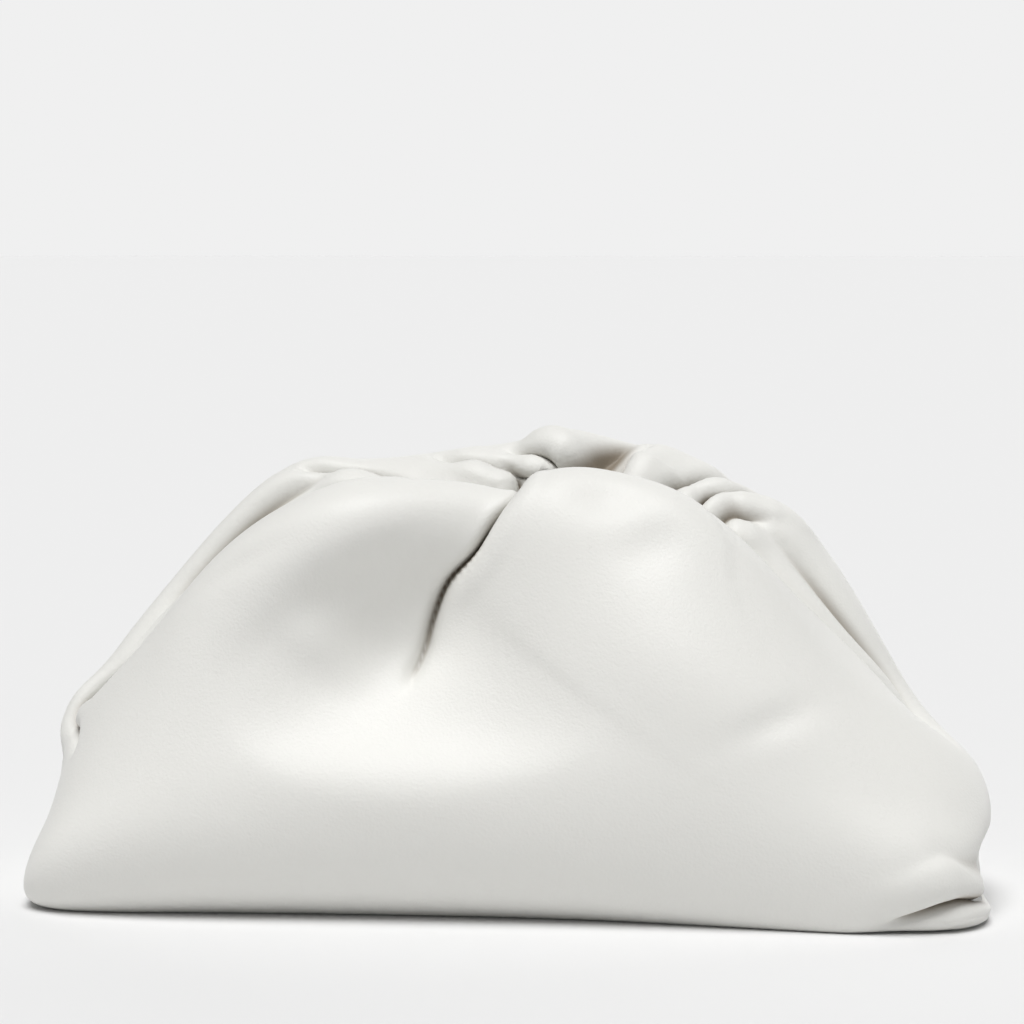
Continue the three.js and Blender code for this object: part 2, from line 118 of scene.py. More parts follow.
# Folds. Each runs through points given as (share round, share along the profile), and the gathers
# and the crease start at the mouth. side: which edge overlaps, seen along the run. depth, lip and
# slope: shares of the fold depth. width and lean: shares of the fold width. open and close: how much
# of the depth the first and the last end of the run have.
FOLD_COLUMNS = ("name", "side", "depth", "width", "lean", "lip", "slope", "open", "close", "run")
FOLD_ROWS = (
    ("crease_slope", 1, 0.35, 2.6, 0, 0.1, 0.4, 0.6, 0.1,
     ((0.262, 0.97), (0.259, 0.9), (0.258, 0.82), (0.2565, 0.775), (0.2515, 0.722),
      (0.244, 0.667), (0.2325, 0.624), (0.226, 0.591), (0.222, 0.566))),
    ("front_crease", 1, 1.2, 0.55, 0.5, 0.12, 0.2, 0.9, 0.5,
     ((0.262, 0.97), (0.259, 0.9), (0.258, 0.82), (0.2565, 0.775), (0.2515, 0.722),
      (0.244, 0.667), (0.2325, 0.627), (0.2262, 0.597), (0.2235, 0.578), (0.2205, 0.56))),
    ("shelf_edge", -1, -0.27, 3.5, 0, 0, 0, 0.1, 0.1,
     ((0.15, 0.56), (0.164, 0.501), (0.187, 0.445), (0.229, 0.433), (0.27, 0.467), (0.284, 0.507),
      (0.29, 0.54))),
    ("left_long_pleat", 1, 1.1, 0.75, 0.9, 0.25, 0.35, 0.8, 0.15,
     ((0.798, 0.97), (0.802, 0.9), (0.806, 0.872), (0.817, 0.852), (0.831, 0.832), (0.846, 0.8))),
    ("left_notch", 1, 1.0, 0.65, 0.8, 0.2, 0.25, 0.8, 0.5,
     ((0.747, 0.97), (0.75, 0.93), (0.758, 0.888), (0.768, 0.872), (0.776, 0.855),
      (0.783, 0.838), (0.787, 0.822))),
    ("centre_pleat_low", -1, 0.85, 0.7, 0.9, 0.25, 0.3, 0.8, 0.1,
     ((0.742, 0.97), (0.744, 0.905), (0.748, 0.88), (0.757, 0.87), (0.765, 0.86), (0.77, 0.85))),
    ("centre_pleat_high", -1, 0.9, 0.75, 0.9, 0.25, 0.35, 0.8, 0.1,
     ((0.735, 0.97), (0.738, 0.89), (0.741, 0.869), (0.749, 0.852), (0.757, 0.84), (0.764, 0.832),
      (0.772, 0.815))),
    ("peak_hollow", -1, 1.15, 2.0, 0, 0.1, 0, 0.8, 0.3,
     ((0.726, 0.97), (0.7265, 0.877), (0.728, 0.85), (0.731, 0.805), (0.733, 0.76))),
    ("peak_edge", -1, 0.75, 0.7, 0.5, 0.05, 0.3, 0.8, 0.1,
     ((0.712, 0.97), (0.713, 0.875), (0.7145, 0.85), (0.718, 0.826), (0.721, 0.78))),
    ("right_gap", -1, 1.35, 0.9, 0.9, 0.25, 0.4, 0.9, 0.15,
     ((0.694, 0.97), (0.687, 0.877), (0.681, 0.85), (0.678, 0.8), (0.678, 0.75))),
    ("right_long_pleat", -1, 1.2, 0.75, 1.0, 0.25, 0.35, 0.9, 0.15,
     ((0.678, 0.97), (0.672, 0.88), (0.664, 0.84), (0.652, 0.8), (0.642, 0.762), (0.634, 0.72))),
    ("right_pocket", -1, 0.8, 1, 0.6, 0.2, 0.1, 0.9, 0.3,
     ((0.666, 0.97), (0.661, 0.882), (0.655, 0.862), (0.647, 0.835))),
    ("left_end_fold", 1, 1.1, 0.9, 0.5, 0.1, 0.15, 0.5, 0.5,
     ((0.96, 0.86), (0.985, 0.8), (1.0, 0.76), (1.014, 0.728), (1.026, 0.697), (1.034, 0.665))),
    ("left_valley", 1, 0.75, 1.2, 0, 0, 0, 0.3, 0.3,
     ((0.925, 0.825), (0.908, 0.82), (0.893, 0.828), (0.869, 0.84), (0.845, 0.848), (0.821, 0.845))),
    ("right_valley", 1, 0.7, 1.3, 0, 0, 0, 0.3, 0.4,
     ((0.65, 0.86), (0.622, 0.86), (0.587, 0.852), (0.556, 0.81), (0.53, 0.8), (0.51, 0.77))),
    ("corner_tuck", 1, 1.5, 1.35, 1.0, 0.12, 0.2, 0.5, 0.4,
     ((0.39, 0.315), (0.397, 0.333), (0.404, 0.347), (0.413, 0.36), (0.424, 0.367), (0.441, 0.37),
      (0.465, 0.36), (0.49, 0.345))),
    ("corner_pinch", -1, 0.55, 1.3, 0.2, 0.1, 0.1, 0.3, 0.4,
     ((0.4, 0.42), (0.413, 0.44), (0.43, 0.44), (0.45, 0.44), (0.48, 0.44))),
)

# Dents, and swells where the depth is negative. around and along: place on the surface.
# reach_round: share of the width. reach_up: share of the height. turn: degrees. depth: share of
# the dent depth.
DENT_COLUMNS = ("name", "around", "along", "reach_round", "reach_up", "turn", "depth")
DENT_ROWS = (
    ("crease_hollow", 0.219, 0.6, 0.1, 0.13, 34, 1.25),
    ("crease_foot", 0.2215, 0.575, 0.03, 0.045, 0, 0.15),
    ("left_lobe_swell", 0.194, 0.715, 0.1, 0.09, 20, -0.35),
    ("lobe_valley", 0.196, 0.635, 0.13, 0.06, 34, 0.3),
    ("bowl_bulge", 0.19, 0.583, 0.05, 0.055, -35, -0.3),
    ("shelf_swell", 0.22, 0.455, 0.197, 0.079, 0, -0.22),
    ("top_dimple", 0.287, 0.74, 0.045, 0.06, 0, 0.5),
    ("top_dimple_two", 0.303, 0.68, 0.035, 0.06, 30, 0.24),
    ("right_dimple", 0.352, 0.56, 0.05, 0.035, 20, 0.2),
    ("left_groove", 0.156, 0.697, 0.068, 0.028, 32, 0.14),
    ("right_corner_dent", 0.47, 0.42, 0.042, 0.051, 0, 0.6),
    ("left_end_nub", 0.98, 0.7, 0.04, 0.1, 0, -0.75),
    ("back_dimple_left", 0.84, 0.62, 0.07, 0.16, 28, 0.3),
    ("back_dimple_middle", 0.75, 0.55, 0.1, 0.07, -12, 0.26),
    ("back_dimple_right", 0.665, 0.63, 0.06, 0.17, -30, 0.3),
    ("back_swell", 0.79, 0.45, 0.12, 0.08, 8, -0.18),
)

# Mesh of the skin: how many columns and rows, and the stretches where they crowd together, or
# spread out where the extra is negative, each as (place, half width, extra density)
SKIN_COLUMNS = 520
OUTER_ROWS = 174
LINING_ROWS = 14
CROWDED_COLUMNS = ((0.735, 0.125, 1.6), (0.243, 0.028, 3.5), (0.455, 0.06, 0.6))
CROWDED_ROWS = ((0.85, 0.12, 1.2), (0.32, 0.05, 0.8), (0.08, 0.15, -0.7))
MERGE_DISTANCE = 1e-6
PATH_STEPS = 40
SHARPENING_ROUNDS = 14

# How far the lips of the folds lean over, as a multiple of each fold's own lean
LEANING = 1.8

# A dent or fold acts only on leather that faces the same way as its own place. Each value is the
# cosine from which it acts in full. DENT_REACH_LIMIT: share round the bag past which a dent ends
DENT_FACING = 0.6
FOLD_FACING = 0.5
DENT_REACH_LIMIT = 0.2

# Section across a fold. Places and reaches are multiples of the fold's own width
VALLEY_POWER = 1.5
LIP_PLACE = 2.2
LIP_REACH = 1.2
FAR_LIP_SHARE = 0.35
FAR_LIP_PLACE = 2.4
FAR_LIP_REACH = 1.3
SLOPE_REACH = 6
LEAN_PLACE = 1.1
ROOM_REACH = 5
HEIGHT_REACH = 6
PAST_END_REACH = 2.5

# How a fold fades out, as shares along its run and along the profile towards the mouth's edge
LIP_FADE_AT_CLOSE = 0.35
LIP_FADE_END = 0.94
LIP_FADE_LENGTH = 0.08
VALLEY_FADE_LENGTH = 0.05
VALLEY_LEFT_AT_MOUTH = 0.25
FOLD_MARGIN_ROUND = 0.1
FOLD_MARGIN_ALONG = 0.14

# The lining runs straight from the mouth to the waist, then down the wall to the base. Shares
# along the profile and of the lining's own rows. LINING_DEPTH keeps it clear of the face's valleys
WAIST_PLACE = 0.6
WAIST_ROW_SHARE = 0.3
LINING_DEPTH = 0.006


def named(columns, rows):
    return [dict(zip(columns, row)) for row in rows]


# Smooth pouch

ARC_RADIUS = ((FRAME_SPAN / 2) ** 2 + FRAME_RISE ** 2) / (2 * FRAME_RISE)
ARC_CENTRE_HEIGHT = FRAME_FOOT_HEIGHT + FRAME_RISE - ARC_RADIUS
ARC_HALF_ANGLE = math.asin(FRAME_SPAN / 2 / ARC_RADIUS)


def arc_point(share):
    """Place on the clasp's arc, from its left end at 0 to its right end at 1."""
    angle = (2 * share - 1) * ARC_HALF_ANGLE
    return ARC_RADIUS * math.sin(angle), ARC_CENTRE_HEIGHT + ARC_RADIUS * math.cos(angle)


def section_points(section):
    mouth_x, mouth_z = arc_point(section["mouth"])
    mouth_y = np.sign(section["foot_y"]) * MOUTH_GAP / 2
    points = []
    for p in named(PROFILE_COLUMNS, PROFILE_ROWS):
        half_widths = (p["x_foot"] * section["foot_x"] + p["x_rim"] * section["rim_x"]
                       + p["x_bulge"] * section["bulge"])
        half_depths = sum(p["y_" + name] * section[name + "_y"]
                          for name in ("foot", "belly", "waist", "shoulder", "rim"))
        points.append((
            half_widths * BAG_WIDTH / 2 + p["x_mouth"] * mouth_x,
            half_depths * BAG_DEPTH / 2 + p["y_mouth"] * mouth_y,
            p["z_rim"] * section["rim_z"] * BAG_HEIGHT + p["z_mouth"] * mouth_z
            + p["z_foot_rise"] * FOOT_RISE + p["z_tuck"] * MOUTH_TUCK,
        ))
    return points


def passing_through(sections):
    """Control points whose closed curve round the bag passes through the sections."""
    control = sections.copy()
    for _ in range(SHARPENING_ROUNDS):
        mean = (np.roll(control, 1, 0) + 4 * control + np.roll(control, -1, 0)) / 6
        control = control + sections - mean
    return control


def with_mirrored_ends(control):
    """Adds a mirrored point at both ends of each section, so that its curve reaches them."""
    first = 2 * control[:, :1] - control[:, 1:2]
    beyond = 2 * control[:, -1:] - control[:, -2:-1]
    return np.concatenate([first, control, beyond], axis=1)


SECTIONS = np.array([section_points(row) for row in named(SECTION_COLUMNS, SECTION_ROWS)])
CONTROL_NET = with_mirrored_ends(passing_through(SECTIONS))


def spline_weights(t):
    return np.stack([
        (1 - t) ** 3,
        3 * t ** 3 - 6 * t ** 2 + 4,
        -3 * t ** 3 + 3 * t ** 2 + 3 * t + 1,
        t ** 3,
    ], axis=-1) / 6


def smooth_points(around, along):
    """Points of the pouch without folds, for arrays of shares round and along the profile."""
    count, spans = len(CONTROL_NET), len(PROFILE_ROWS) - 1
    x = (around % 1.0) * count
    y = np.clip(along, 0, 1) * spans
    column = np.floor(x).astype(int)
    row = np.minimum(np.floor(y).astype(int), spans - 1)
    column_weights = spline_weights(x - column)
    row_weights = spline_weights(y - row)
    points = np.zeros((len(x), 3))
    for i in range(4):
        for j in range(4):
            weight = column_weights[:, i] * row_weights[:, j]
            points += weight[:, None] * CONTROL_NET[(column + i - 1) % count, row + j]
    return points


def unit(vectors):
    return vectors / np.maximum(np.linalg.norm(vectors, axis=-1, keepdims=True), 1e-12)


def smooth_normals(around, along):
    step = 0.001
    edge_margin = 4 * step
    b = np.clip(along, edge_margin, 1 - edge_margin)
    across = smooth_points(around + step, b) - smooth_points(around - step, b)
    upward = smooth_points(around, b + step) - smooth_points(around, b - step)
    return unit(np.cross(across, upward))


def round_distance(a, b):
    """Distance round the bag between two shares, by the shorter way."""
    gap = np.abs(a - b) % 1.0
    return np.minimum(gap, 1 - gap)


def smoothstep(x, low, high):
    t = np.clip((x - low) / (high - low), 0, 1)
    return t * t * (3 - 2 * t)


# Dents and folds

def dent_moves(dent, around, points, normals):
    """Moves of one dent, a rounded hollow that is turned and stretched on the surface."""
    place = np.array([dent["around"]]), np.array([dent["along"]])
    centre = smooth_points(*place)[0]
    normal = smooth_normals(*place)[0]
    level = unit(np.cross((0.0, 0.0, 1.0), normal))
    steep = np.cross(normal, level)
    turn = math.radians(dent["turn"])
    long_axis = math.cos(turn) * level + math.sin(turn) * steep
    short_axis = math.cos(turn) * steep - math.sin(turn) * level
    offset = points - centre
    u = offset @ long_axis / (dent["reach_round"] * BAG_WIDTH)
    v = offset @ short_axis / (dent["reach_up"] * BAG_HEIGHT)
    facing = smoothstep(normals @ normal, 0, DENT_FACING)
    near = round_distance(around, dent["around"]) <= DENT_REACH_LIMIT
    depth = dent["depth"] * DENT_DEPTH * np.exp(-u * u - v * v) * facing * near
    return -depth[:, None] * normals


def run_places(run):
    """Evenly counted places on a smooth curve through the points of a run."""
    points = np.array(run)
    last = len(points) - 1
    ends = [2 * points[0] - points[1]], [2 * points[-1] - points[-2]]
    padded = np.concatenate([ends[0], points, ends[1]])
    t = np.linspace(0, last, PATH_STEPS + 1)
    i = np.minimum(t.astype(int), last - 1)
    f = (t - i)[:, None]
    before, start, end, after = (padded[i + k] for k in range(4))
    return 0.5 * (2 * start + (end - before) * f
                  + (2 * before - 5 * start + 4 * end - after) * f ** 2
                  + (3 * start - before - 3 * end + after) * f ** 3)


def nearest_on_run(points, path, frames, shares):
    """For each point: the way from the nearest place on the path, the frame and share there."""
    best = np.full(len(points), np.inf)
    away = np.zeros_like(points)
    frame_there = np.zeros((len(points), 3, 3))
    t = np.zeros(len(points))
    for i in range(PATH_STEPS):
        segment = path[i + 1] - path[i]
        offset = points - path[i]
        share = np.clip(offset @ segment / (segment @ segment), 0, 1)
        gap = offset - share[:, None] * segment
        distance = np.linalg.norm(gap, axis=1)
        closer = distance < best
        best[closer] = distance[closer]
        away[closer] = gap[closer]
        part = share[closer][:, None, None]
        frame_there[closer] = (1 - part) * frames[i] + part * frames[i + 1]
        t[closer] = shares[i] + (shares[i + 1] - shares[i]) * share[closer]
    return away, frame_there, t


def fold_moves(fold, around, along, points, normals):
    """Moves of one fold, a valley with an overlapping lip, and the shade and room it needs."""
    moves = np.zeros_like(points)
    shade = np.zeros(len(points))
    room = np.zeros(len(points))
    places = run_places(fold["run"])
    path = smooth_points(places[:, 0], places[:, 1])
    tangents = unit(np.gradient(path, axis=0))
    path_normals = smooth_normals(places[:, 0], places[:, 1])
    path_sides = unit(np.cross(path_normals, tangents)) * fold["side"]
    frames = np.stack([tangents, path_sides, path_normals], axis=1)
    lengths = np.concatenate([[0], np.cumsum(np.linalg.norm(np.diff(path, axis=0), axis=1))])
    middle = (places[:, 0].max() + places[:, 0].min()) / 2
    half_reach = (places[:, 0].max() - places[:, 0].min()) / 2
    near_round = round_distance(around, middle) <= half_reach + FOLD_MARGIN_ROUND
    near = np.nonzero(near_round & (along >= places[:, 1].min() - FOLD_MARGIN_ALONG))[0]
    away, frame_there, t = nearest_on_run(points[near], path, frames, lengths / lengths[-1])
    n = normals[near]
    b = along[near]
    along_run, sideways, outward = (frame_there[:, i] for i in range(3))
    past = np.where((t <= 0) | (t >= 1), np.abs((away * along_run).sum(1)), 0)
    width = fold["width"] * FOLD_WIDTH
    s = (away * sideways).sum(1) / width
    height_off = (away * outward).sum(1) / (HEIGHT_REACH * width)
    facing = smoothstep((n * outward).sum(1), 0, FOLD_FACING) * np.exp(-height_off ** 4)
    swell = np.sin(np.pi * t)
    end = np.where(t < 0.5, fold["open"], fold["close"])
    past_fade = np.exp(-(past / (PAST_END_REACH * width)) ** 2)
    share = (end + (1 - end) * swell) * past_fade * facing
    mouth_fade = np.clip((LIP_FADE_END - b) / LIP_FADE_LENGTH, 0, 1)
    valley_fade = np.clip((1 - b) / VALLEY_FADE_LENGTH, VALLEY_LEFT_AT_MOUTH, 1)
    end_fade = smoothstep(1 - t, 0, LIP_FADE_AT_CLOSE)
    valley = fold["depth"] * FOLD_DEPTH * np.exp(-np.abs(s) ** VALLEY_POWER) * valley_fade
    near_lip = np.exp(-((s - LIP_PLACE) / LIP_REACH) ** 2)
    far_lip = FAR_LIP_SHARE * np.exp(-((s + FAR_LIP_PLACE) / FAR_LIP_REACH) ** 2)
    lip = fold["lip"] * FOLD_DEPTH * (near_lip + far_lip)
    slope = fold["slope"] * FOLD_DEPTH * np.tanh(s) * np.exp(-(s / SLOPE_REACH) ** 2)
    lean_fade = mouth_fade * end_fade
    lean = fold["lean"] * FOLD_WIDTH * LEANING * lean_fade * np.exp(-(s - LEAN_PLACE) ** 2)
    height = ((lip + slope) * mouth_fade * end_fade - valley) * share
    moves[near] = height[:, None] * n - (lean * share)[:, None] * sideways
    shade[near] = valley / FOLD_DEPTH * share
    room_fade = np.exp(-(s / ROOM_REACH) ** 2)
    room[near] = (fold["depth"] + fold["slope"]) * FOLD_DEPTH * share * room_fade
    return moves, shade, room


def moved_points(around, along, wall):
    """Points of the leather's face, and how deep in a fold each lies.

    With a wall above 0 they lie inside the face instead, clear of the wall and of the folds.
    """
    points = smooth_points(around, along)
    normals = smooth_normals(around, along)
    dents = sum(dent_moves(dent, around, points, normals) for dent in named(DENT_COLUMNS, DENT_ROWS))
    folds = np.zeros_like(points)
    shade = np.zeros(len(points))
    room = np.zeros(len(points))
    for fold in named(FOLD_COLUMNS, FOLD_ROWS):
        fold_move, fold_shade, fold_room = fold_moves(fold, around, along, points, normals)
        folds += fold_move
        shade = np.maximum(shade, fold_shade)
        room += fold_room
    if wall > 0:
        points = points + dents - (wall + room)[:, None] * normals
    else:
        points = points + dents + folds
    points[:, 2] = np.maximum(points[:, 2], wall)
    return points + POUCH_PLACE, shade


def lining_points(around, share):
    """Points of the lining, from the mouth's edge at 0 to the middle of the base at 1."""
    below = np.clip((share - WAIST_ROW_SHARE) / (1 - WAIST_ROW_SHARE), 0, 1)
    wall_points = moved_points(around, WAIST_PLACE * (1 - below), LINING_DEPTH)[0]
    edge_points = smooth_points(around, np.ones(len(around))) + POUCH_PLACE
    edge_points = edge_points - LEATHER_WALL * smooth_normals(around, np.ones(len(around)))
    drop = smoothstep(share, 0, WAIST_ROW_SHARE)[:, None]
    return edge_points * (1 - drop) + wall_points * drop


# Meshes

def crowded_places(count, crowds, closed):
    """Shares from 0 to 1, closer together in the crowded stretches."""
    samples = 4000
    x = (np.arange(samples) + 0.5) / samples
    density = np.ones(samples)
    for place, half_width, extra in crowds:
        gap = round_distance(x, place) if closed else np.abs(x - place)
        density += extra * np.exp(-(gap / half_width) ** 4)
    totals = np.concatenate([[0], np.cumsum(density)])
    wanted = np.linspace(0, totals[-1], count + 1)
    return np.interp(wanted, totals, np.linspace(0, 1, samples + 1))


def new_piece(name, bm):
    mesh = bpy.data.meshes.new(name)
    bm.to_mesh(mesh)
    bm.free()
    piece = bpy.data.objects.new(name, mesh)
    bpy.context.scene.collection.objects.link(piece)
    return piece


def shade_smooth(piece):
    for polygon in piece.data.polygons:
        polygon.use_smooth = True


def leather_skin():
    """One closed skin: up the outer face, over the mouth's edge and down the lining."""
    columns = crowded_places(SKIN_COLUMNS, CROWDED_COLUMNS, True)
    outer = crowded_places(OUTER_ROWS, CROWDED_ROWS, False)
    row_count = OUTER_ROWS + LINING_ROWS + 1
    bm = bmesh.new()
    bmesh.ops.create_grid(bm, x_segments=SKIN_COLUMNS, y_segments=row_count, size=0.5)
    grid = np.array([vertex.co[:2] for vertex in bm.verts]) + 0.5
    column = np.rint(grid[:, 0] * SKIN_COLUMNS).astype(int)
    row = np.rint(grid[:, 1] * row_count).astype(int)
    lined = row > OUTER_ROWS
    points = np.zeros((len(row), 3))
    shade = np.zeros(len(row))
    points[~lined], shade[~lined] = moved_points(columns[column[~lined]], outer[row[~lined]], 0)
    lining_share = (row[lined] - OUTER_ROWS - 1) / LINING_ROWS
    points[lined] = lining_points(columns[column[lined]], lining_share)
    # crease: how deep in a fold each point lies, which drives the painted shade in the leather's
    # colour
    crease = bm.verts.layers.float.new("crease")
    for vertex, point, depth in zip(bm.verts, points, shade):
        vertex.co = point
        vertex[crease] = depth
    bmesh.ops.remove_doubles(bm, verts=bm.verts, dist=MERGE_DISTANCE)
    bmesh.ops.recalc_face_normals(bm, faces=bm.faces)
    piece = new_piece("pouch_skin", bm)
    shade_smooth(piece)
    return piece


def clasp_band():
    """Rounded arch that lies between the two lips of the mouth."""
    end_share = 0.09
    top_inset = 0.001
    corner_radius = 0.0022
    corner_steps = 4
    arc_steps = 96
    half_thickness = MOUTH_GAP / 2 - CLASP_CLEARANCE
    start_angle = (1 - 2 * end_share) * ARC_HALF_ANGLE
    top = ARC_CENTRE_HEIGHT + ARC_RADIUS - top_inset
    bm = bmesh.new()
    corner_shares = ((-1, 0), (1, 0), (1, 1), (-1, 1))
    corners = [(0, y * half_thickness, top - z * CLASP_BAND) for y, z in corner_shares]
    bm.faces.new([bm.verts.new(corner) for corner in corners])
    bmesh.ops.bevel(bm, geom=list(bm.verts), offset=corner_radius, offset_type="OFFSET",
                    segments=corner_steps, profile=0.5, affect="VERTICES", material=-1)
    centre = (0, 0, ARC_CENTRE_HEIGHT)
    bmesh.ops.rotate(bm, verts=list(bm.verts), cent=centre,
                     matrix=Matrix.Rotation(-start_angle, 3, "Y"))
    section = bm.faces[:][0]
    bmesh.ops.spin(bm, geom=[section], cent=centre, axis=(0, 1, 0), angle=2 * start_angle,
                   steps=arc_steps, use_merge=False)
    bmesh.ops.holes_fill(bm, edges=bm.edges, sides=0)
    bmesh.ops.translate(bm, verts=bm.verts, vec=Vector(POUCH_PLACE))
    bmesh.ops.recalc_face_normals(bm, faces=bm.faces)
    piece = new_piece("clasp_arch", bm)
    shade_smooth(piece)
    return piece


# Materials

WHITE_LEATHER = (0.8, 0.795, 0.762)
FRAME_LEATHER = (0.75, 0.74, 0.71)
# CREASE_SHADE: painted shade, the dark warm colour laid into the leather deep in the folds
CREASE_SHADE = (0.26, 0.22, 0.17)

# How deep in a fold, as a share of the fold depth, the shade of the crease starts and is full
CREASE_SHADE_START = 0.28
CREASE_SHADE_FULL = 0.9

# Cells and patches for each metre, and how far the grain stands up
GRAIN_SCALE = 900
FINE_GRAIN_RATIO = 1.7
FINE_GRAIN_SHARE = 0.45
PATCH_SCALE = 22
GRAIN_RELIEF = 0.0004

# Gloss of the leather, the same all over, and how far the roughness falls and rises in patches
LEATHER_SPECULAR = 0.42
LEATHER_SHEEN = 0.06
SHEEN_ROUGHNESS = 0.5
SMOOTHER_BY = 0.05
ROUGHER_BY = 0.06


def node_at(tree, kind, x, y, **settings):
    node = tree.nodes.new(kind)
    node.location = (x, y)
    for name, value in settings.items():
        setattr(node, name, value)
    return node


def leather_grain_group():
    """Fine grain of smooth leather. Scale is in cells for each metre."""
    group = bpy.data.node_groups.new("leather_grain", "ShaderNodeTree")
    scale = group.interface.new_socket("Scale", in_out="INPUT", socket_type="NodeSocketFloat")
    scale.default_value = GRAIN_SCALE
    group.interface.new_socket("Height", in_out="OUTPUT", socket_type="NodeSocketFloat")
    group.interface.new_socket("Patches", in_out="OUTPUT", socket_type="NodeSocketFloat")
    link = group.links.new
    start = node_at(group, "NodeGroupInput", -900, 0)
    end = node_at(group, "NodeGroupOutput", 500, 0)
    place = node_at(group, "ShaderNodeTexCoord", -900, -250)
    cells = node_at(group, "ShaderNodeTexVoronoi", -500, 200, feature="SMOOTH_F1")
    link(place.outputs["Object"], cells.inputs["Vector"])
    link(start.outputs["Scale"], cells.inputs["Scale"])
    fine = node_at(group, "ShaderNodeTexNoise", -500, -100)
    fine.inputs["Detail"].default_value = 3
    finer = node_at(group, "ShaderNodeMath", -700, -100, operation="MULTIPLY")
    finer.inputs[1].default_value = FINE_GRAIN_RATIO
    link(start.outputs["Scale"], finer.inputs[0])
    link(place.outputs["Object"], fine.inputs["Vector"])
    link(finer.outputs["Value"], fine.inputs["Scale"])
    patches = node_at(group, "ShaderNodeTexNoise", -500, -400)
    patches.inputs["Scale"].default_value = PATCH_SCALE
    patches.inputs["Detail"].default_value = 4
    link(place.outputs["Object"], patches.inputs["Vector"])
    mix = node_at(group, "ShaderNodeMix", -200, 100, data_type="FLOAT")
    mix.inputs["Factor"].default_value = FINE_GRAIN_SHARE
    link(cells.outputs["Distance"], mix.inputs["A"])
    link(fine.outputs["Fac"], mix.inputs["B"])
    link(mix.outputs["Result"], end.inputs["Height"])
    link(patches.outputs["Fac"], end.inputs["Patches"])
    return group


def leather_material(name, colour, roughness, bump):
    """Smooth leather: its own colour, painted shade (darker and warmer) deep in folds, grain and
    sheen.
    """
    material = bpy.data.materials.new(name)
    material.use_nodes = True
    tree = material.node_tree
    link = tree.links.new
    shader = tree.nodes["Principled BSDF"]
    shader.inputs["Specular IOR Level"].default_value = LEATHER_SPECULAR
    shader.inputs["Sheen Weight"].default_value = LEATHER_SHEEN
    shader.inputs["Sheen Roughness"].default_value = SHEEN_ROUGHNESS
    grain = node_at(tree, "ShaderNodeGroup", -900, 0, node_tree=GRAIN)
    crease = node_at(tree, "ShaderNodeAttribute", -900, 250, attribute_name="crease")
    depth = node_at(tree, "ShaderNodeMapRange", -650, 350, interpolation_type="SMOOTHSTEP")
    depth.inputs["From Min"].default_value = CREASE_SHADE_START
    depth.inputs["From Max"].default_value = CREASE_SHADE_FULL
    link(crease.outputs["Fac"], depth.inputs["Value"])
    # Painted shade: the base colour darkens towards CREASE_SHADE deep in folds
    tone = node_at(tree, "ShaderNodeMix", -400, 250, data_type="RGBA")
    tone.inputs["A"].default_value = (*colour, 1)
    tone.inputs["B"].default_value = (*CREASE_SHADE, 1)
    link(depth.outputs["Result"], tone.inputs["Factor"])
    link(tone.outputs["Result"], shader.inputs["Base Color"])
    rough = node_at(tree, "ShaderNodeMapRange", -400, -50)
    rough.inputs["To Min"].default_value = roughness - SMOOTHER_BY
    rough.inputs["To Max"].default_value = roughness + ROUGHER_BY
    link(grain.outputs["Patches"], rough.inputs["Value"])
    link(rough.outputs["Result"], shader.inputs["Roughness"])
    relief = node_at(tree, "ShaderNodeBump", -400, -300)
    relief.inputs["Strength"].default_value = bump
    relief.inputs["Distance"].default_value = GRAIN_RELIEF
    link(grain.outputs["Height"], relief.inputs["Height"])
    link(relief.outputs["Normal"], shader.inputs["Normal"])
    return material


def pale_floor_material():
    material = bpy.data.materials.new("pale_floor")
    material.use_nodes = True
    shader = material.node_tree.nodes["Principled BSDF"]
    shader.inputs["Specular IOR Level"].default_value = 0
    shader.inputs["Base Color"].default_value = (FLOOR_TONE, FLOOR_TONE, FLOOR_TONE, 1)
    shader.inputs["Roughness"].default_value = FLOOR_ROUGHNESS
    return material


# Studio. Angles are in degrees

CAMERA_AZIMUTH = 4
CAMERA_ELEVATION = 8
CAMERA_DISTANCE = 1.25
FRAME_WIDTH_SEEN = 0.401
CAMERA_AIM = Vector((0, 0, 0.08))
CAMERA_SHIFT_UP = 0.175
SENSOR_WIDTH = 36

# Name, azimuth, elevation, spread and strength
SOFT_LIGHTS = (
    ("top_light", -4, 70, 36, 2.8),
    ("back_light", 165, 22, 60, 0.7),
)
LIGHT_DISTANCE = 2

FLOOR_TONE = 0.8
FLOOR_ROUGHNESS = 0.9
FLOOR_REACH = 60

# Brightness of the sky behind the horizon, low down and overhead, and the heights where one
# passes into the next, as the upward part of the direction
BACKDROP_TONE = 0.871
DOME_LOW = 0.12
DOME_TOP = 0.15
BACKDROP_END = 0.08
DOME_START = 0.16
DOME_LOW_HEIGHT = 0.1


def add_camera():
    azimuth = math.radians(CAMERA_AZIMUTH)
    elevation = math.radians(CAMERA_ELEVATION)
    back = Vector((
        math.sin(azimuth) * math.cos(elevation),
        -math.cos(azimuth) * math.cos(elevation),
        math.sin(elevation),
    ))
    data = bpy.data.cameras.new("photo_camera")
    data.lens = SENSOR_WIDTH * CAMERA_DISTANCE / FRAME_WIDTH_SEEN
    data.shift_y = CAMERA_SHIFT_UP
    camera = bpy.data.objects.new("photo_camera", data)
    camera.location = CAMERA_AIM + CAMERA_DISTANCE * back
    camera.rotation_euler = (-back).to_track_quat("-Z", "Y").to_euler()
    bpy.context.scene.collection.objects.link(camera)
    bpy.context.scene.camera = camera


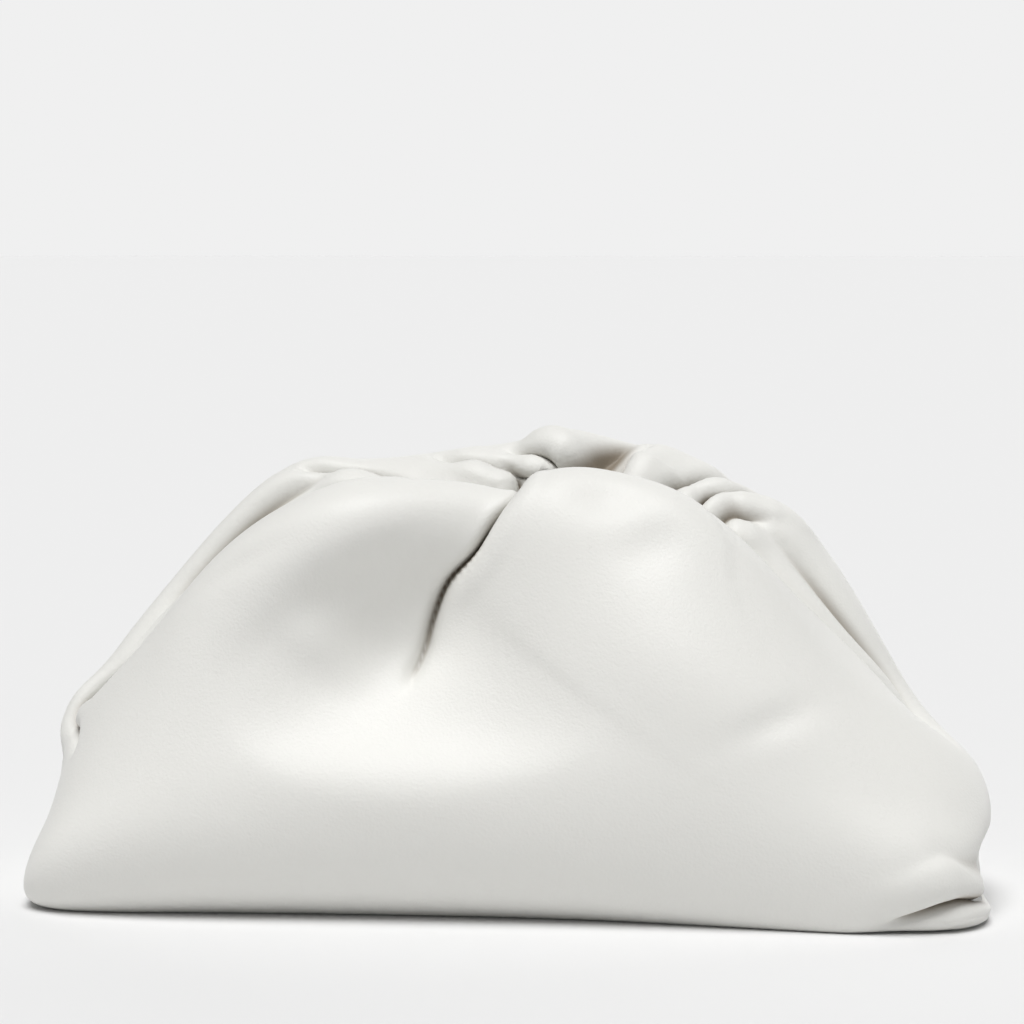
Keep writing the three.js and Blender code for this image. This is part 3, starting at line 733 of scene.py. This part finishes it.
def add_soft_light(name, azimuth, elevation, spread, strength):
    """Broad light from far away, so that the whole floor gets the same light."""
    data = bpy.data.lights.new(name, "SUN")
    data.angle = math.radians(spread)
    data.energy = strength
    light = bpy.data.objects.new(name, data)
    turn = math.radians(azimuth)
    rise = math.radians(elevation)
    towards = Vector((
        math.sin(turn) * math.cos(rise),
        -math.cos(turn) * math.cos(rise),
        math.sin(rise),
    ))
    light.location = LIGHT_DISTANCE * towards
    light.rotation_euler = towards.to_track_quat("Z", "Y").to_euler()
    bpy.context.scene.collection.objects.link(light)


def add_floor():
    bm = bmesh.new()
    bmesh.ops.create_grid(bm, x_segments=1, y_segments=1, size=FLOOR_REACH)
    floor = new_piece("studio_floor", bm)
    floor.data.materials.append(pale_floor_material())


def add_dome():
    """Sky with a bright even backdrop near the horizon and a dim grey above it."""
    world = bpy.data.worlds.new("studio")
    bpy.context.scene.world = world
    world.use_nodes = True
    tree = world.node_tree
    link = tree.links.new
    background = tree.nodes["Background"]
    direction = node_at(tree, "ShaderNodeTexCoord", -1100, 0)
    parts = node_at(tree, "ShaderNodeSeparateXYZ", -900, 0)
    link(direction.outputs["Generated"], parts.inputs["Vector"])
    sky = node_at(tree, "ShaderNodeMapRange", -650, 150)
    sky.inputs["From Min"].default_value = DOME_LOW_HEIGHT
    sky.inputs["From Max"].default_value = 1
    sky.inputs["To Min"].default_value = DOME_LOW
    sky.inputs["To Max"].default_value = DOME_TOP
    link(parts.outputs["Z"], sky.inputs["Value"])
    above = node_at(tree, "ShaderNodeMapRange", -650, -150)
    above.inputs["From Min"].default_value = BACKDROP_END
    above.inputs["From Max"].default_value = DOME_START
    link(parts.outputs["Z"], above.inputs["Value"])
    tone = node_at(tree, "ShaderNodeMix", -350, 0, data_type="FLOAT")
    tone.inputs["A"].default_value = BACKDROP_TONE
    link(above.outputs["Result"], tone.inputs["Factor"])
    link(sky.outputs["Result"], tone.inputs["B"])
    link(tone.outputs["Result"], background.inputs["Strength"])
    background.inputs["Color"].default_value = (1, 1, 1, 1)


def add_studio():
    add_dome()
    for light in SOFT_LIGHTS:
        add_soft_light(*light)
    add_floor()
    bpy.context.scene.view_settings.view_transform = "Standard"


GRAIN = leather_grain_group()
add_camera()
add_studio()

skin = leather_skin()
skin.data.materials.append(leather_material("white_leather", WHITE_LEATHER, 0.5, 0.4))
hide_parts("leather_body")
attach(skin, "root")

clasp = clasp_band()
clasp.data.materials.append(leather_material("covered_frame", FRAME_LEATHER, 0.55, 0.5))
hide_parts("clasp_frame")
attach(clasp, "root")
